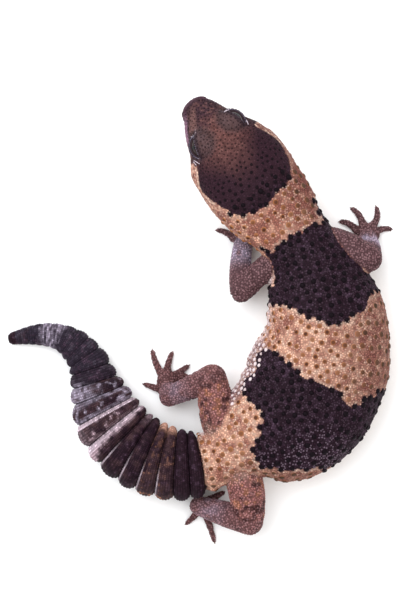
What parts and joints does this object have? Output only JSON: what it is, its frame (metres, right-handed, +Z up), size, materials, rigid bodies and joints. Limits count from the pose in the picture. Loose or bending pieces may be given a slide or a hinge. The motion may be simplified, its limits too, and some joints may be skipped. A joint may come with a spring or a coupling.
{
  "type": "african fat-tailed gecko model",
  "caption": "Life-size still model of a banded gecko resting in a C-shaped curve, with a fat ringed tail, raised tubercles and lidded eyes.",
  "frame": {"origin": "middle of the footprint, on the floor that the belly, tail and feet rest on", "axes": "+Z up; +Y along the longer side of the footprint, towards the snout's end of the curve; the tail curls to -X and the outside of the bend faces +X"},
  "size_m": [0.106, 0.1227, 0.0221],
  "materials": {
    "head_skin": "matt, finely granular",
    "body_skin": "matt, granular with raised scales, in dark and tan bands",
    "tail_skin": "satin, fine scales in rings",
    "limb_skin": "matt, finely granular",
    "eye": "wet gloss"
  },
  "bodies": {
    "root": {"head": "head_skin", "eye_left": "eye", "eye_right": "eye", "neck": "body_skin", "chest": "body_skin", "belly": "body_skin", "hips": "body_skin", "tail_base": "tail_skin", "tail_middle": "tail_skin", "tail_tip": "tail_skin", "upper_arm_left": "limb_skin", "forearm_left": "limb_skin", "hand_left": "limb_skin", "upper_arm_right": "limb_skin", "forearm_right": "limb_skin", "hand_right": "limb_skin", "thigh_left": "limb_skin", "shank_left": "limb_skin", "foot_left": "limb_skin", "thigh_right": "limb_skin", "shank_right": "limb_skin", "foot_right": "limb_skin"}
  },
  "joints": []
}
